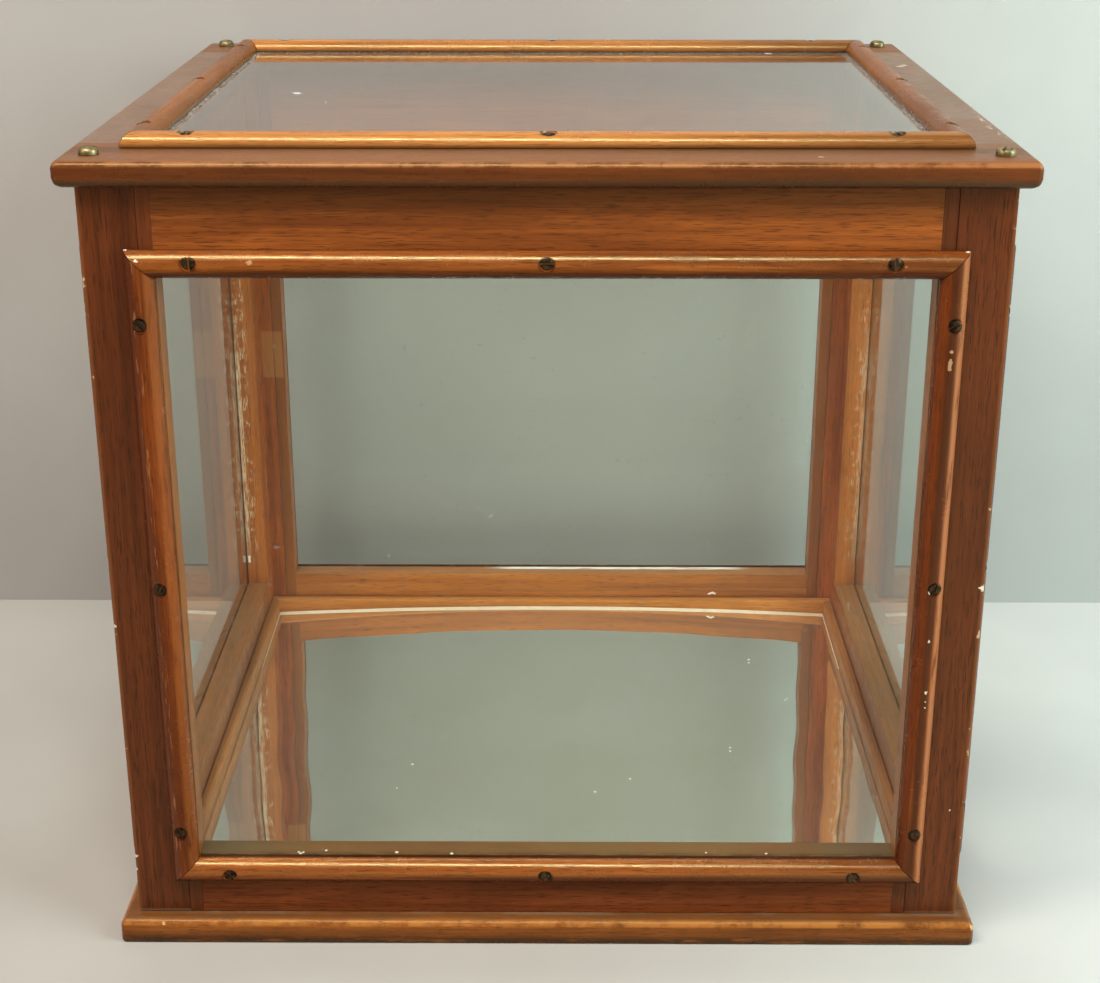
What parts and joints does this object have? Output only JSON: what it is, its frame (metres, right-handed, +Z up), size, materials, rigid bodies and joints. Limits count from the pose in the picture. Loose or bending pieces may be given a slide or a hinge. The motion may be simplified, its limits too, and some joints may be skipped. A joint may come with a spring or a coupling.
{
  "type": "display case",
  "caption": "Glazed hardwood tabletop display case with framed glass sides, half-round beads, a mirror floor and a glazed lid held down by corner screws.",
  "frame": {"origin": "middle of the base board's underside", "axes": "+Z up, front of the case towards -Y, +X to the right as seen from the front"},
  "size_m": [0.423, 0.385, 0.3959],
  "materials": {
    "base_wood": "varnished red-brown hardwood, worn along the rounded edge",
    "post_wood": "varnished dark red-brown hardwood",
    "rail_wood": "varnished orange-brown hardwood with fine dark pores",
    "lining_wood": "varnished red-brown hardwood",
    "bead_wood": "glossy varnished red-brown hardwood",
    "fillet_wood": "satin orange-brown hardwood",
    "lid_wood": "satin red-brown hardwood, slightly dusty on top",
    "glass": "clear window glass, faintly green",
    "mirror": "old silvered mirror",
    "brass": "tarnished brass"
  },
  "bodies": {
    "case": {"base_board": "base_wood", "post_front_left": "post_wood", "post_front_right": "post_wood", "post_back_right": "post_wood", "post_back_left": "post_wood", "front_bottom_rail": "rail_wood", "front_top_rail": "rail_wood", "front_lining_left": "lining_wood", "front_lining_right": "lining_wood", "front_glass": "glass", "front_bead_bottom": "bead_wood", "front_bead_right": "bead_wood", "front_bead_top": "bead_wood", "front_bead_left": "bead_wood", "front_mirror_fillet": "fillet_wood", "right_bottom_rail": "rail_wood", "right_top_rail": "rail_wood", "right_lining_left": "lining_wood", "right_lining_right": "lining_wood", "right_glass": "glass", "right_bead_bottom": "bead_wood", "right_bead_right": "bead_wood", "right_bead_top": "bead_wood", "right_bead_left": "bead_wood", "right_mirror_fillet": "fillet_wood", "back_bottom_rail": "rail_wood", "back_top_rail": "rail_wood", "back_lining_left": "lining_wood", "back_lining_right": "lining_wood", "back_glass": "glass", "back_bead_bottom": "bead_wood", "back_bead_right": "bead_wood", "back_bead_top": "bead_wood", "back_bead_left": "bead_wood", "back_mirror_fillet": "fillet_wood", "left_bottom_rail": "rail_wood", "left_top_rail": "rail_wood", "left_lining_left": "lining_wood", "left_lining_right": "lining_wood", "left_glass": "glass", "left_bead_bottom": "bead_wood", "left_bead_right": "bead_wood", "left_bead_top": "bead_wood", "left_bead_left": "bead_wood", "left_mirror_fillet": "fillet_wood", "mirror_floor": "mirror"},
    "lid": {"lid_rail_front": "lid_wood", "lid_rail_back": "lid_wood", "lid_rail_left": "lid_wood", "lid_rail_right": "lid_wood", "lid_glass": "glass", "lid_bead_front": "bead_wood", "lid_bead_right": "bead_wood", "lid_bead_back": "bead_wood", "lid_bead_left": "bead_wood"},
    "screw_front_left": {"corner_screw_front_left": "brass"},
    "screw_front_right": {"corner_screw_front_right": "brass"},
    "screw_back_right": {"corner_screw_back_right": "brass"},
    "screw_back_left": {"corner_screw_back_left": "brass"}
  },
  "joints": [
    {"name": "lid_lift", "type": "slide", "parent": "case", "child": "lid", "axis": [0, 0, 1], "range_m": [0, 0.12]},
    {"name": "screw_front_left_out", "type": "slide", "parent": "lid", "child": "screw_front_left", "axis": [0, 0, 1], "range_m": [0, 0.032]},
    {"name": "screw_front_right_out", "type": "slide", "parent": "lid", "child": "screw_front_right", "axis": [0, 0, 1], "range_m": [0, 0.032]},
    {"name": "screw_back_right_out", "type": "slide", "parent": "lid", "child": "screw_back_right", "axis": [0, 0, 1], "range_m": [0, 0.032]},
    {"name": "screw_back_left_out", "type": "slide", "parent": "lid", "child": "screw_back_left", "axis": [0, 0, 1], "range_m": [0, 0.032]}
  ]
}
